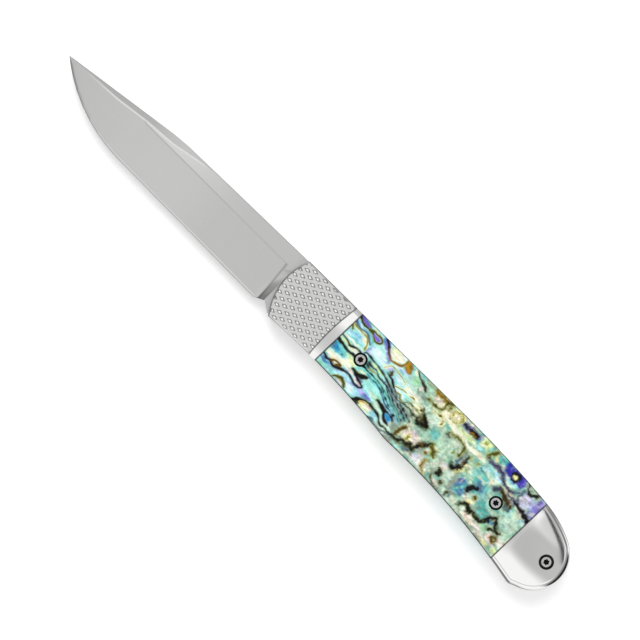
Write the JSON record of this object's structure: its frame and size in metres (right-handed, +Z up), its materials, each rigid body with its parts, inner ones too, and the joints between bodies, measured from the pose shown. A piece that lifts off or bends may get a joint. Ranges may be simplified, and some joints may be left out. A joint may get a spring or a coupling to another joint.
{
  "type": "folding pocket knife",
  "caption": "Folding pocket knife, open, with a spring-driven drop-point blade, knurled release bolster, shell scales and polished butt caps.",
  "frame": {"origin": "middle of the underside of the open knife, which lies on its rear side", "axes": "+X to the butt, +Y to the spine, +Z up to the show side"},
  "size_m": [0.1903, 0.0237, 0.0126],
  "materials": {
    "blade_steel": "satin ground",
    "knurled_steel": "knurled, matt",
    "polished_steel": "mirror polished",
    "shell": "polished shell with dark lines under clear resin",
    "liner_steel": "satin",
    "fastener_steel": "turned",
    "spring_steel": "blued spring steel",
    "washer_bronze": "bronze"
  },
  "bodies": {
    "handle": {"arm_bush": "fastener_steel", "back_spacer": "liner_steel", "butt_barrel": "fastener_steel", "cap_pins": "fastener_steel", "collar_pins": "fastener_steel", "front_butt_cap": "polished_steel", "front_butt_screw": "fastener_steel", "front_collar": "polished_steel", "front_liner": "liner_steel", "front_scale": "shell", "front_scale_screws": "fastener_steel", "front_washer": "washer_bronze", "kick_spring": "spring_steel", "lock_spring": "spring_steel", "lock_spring_bush": "fastener_steel", "pivot_barrel": "fastener_steel", "pivot_screw": "fastener_steel", "rear_bolster": "knurled_steel", "rear_bolster_pins": "fastener_steel", "rear_butt_cap": "polished_steel", "rear_butt_screw": "fastener_steel", "rear_collar": "polished_steel", "rear_liner": "liner_steel", "rear_scale": "shell", "rear_scale_screws": "fastener_steel", "rear_washer": "washer_bronze", "spacer_pins": "fastener_steel", "stop_pin": "fastener_steel"},
    "blade": {"blade": "blade_steel"},
    "release": {"release_bolster": "knurled_steel", "release_arm": "spring_steel", "release_rivets": "fastener_steel"}
  },
  "joints": [
    {"name": "blade_fold", "type": "hinge", "parent": "handle", "child": "blade", "pos_m": [-0.0046, 0.00177, 0.0063], "axis": [0, 0, 1], "range_deg": [0, 180], "stiffness_Nm_per_rad": 0.05, "springref_deg": -57.3, "deforming": ["kick_spring"]},
    {"name": "bolster_release", "type": "hinge", "parent": "handle", "child": "release", "pos_m": [0.0691, 0.00097, 0.0098], "axis": [0, 0, -1], "range_deg": [0, 1.2], "stiffness_Nm_per_rad": 12, "springref_deg": -0.57, "deforming": ["lock_spring"]}
  ]
}
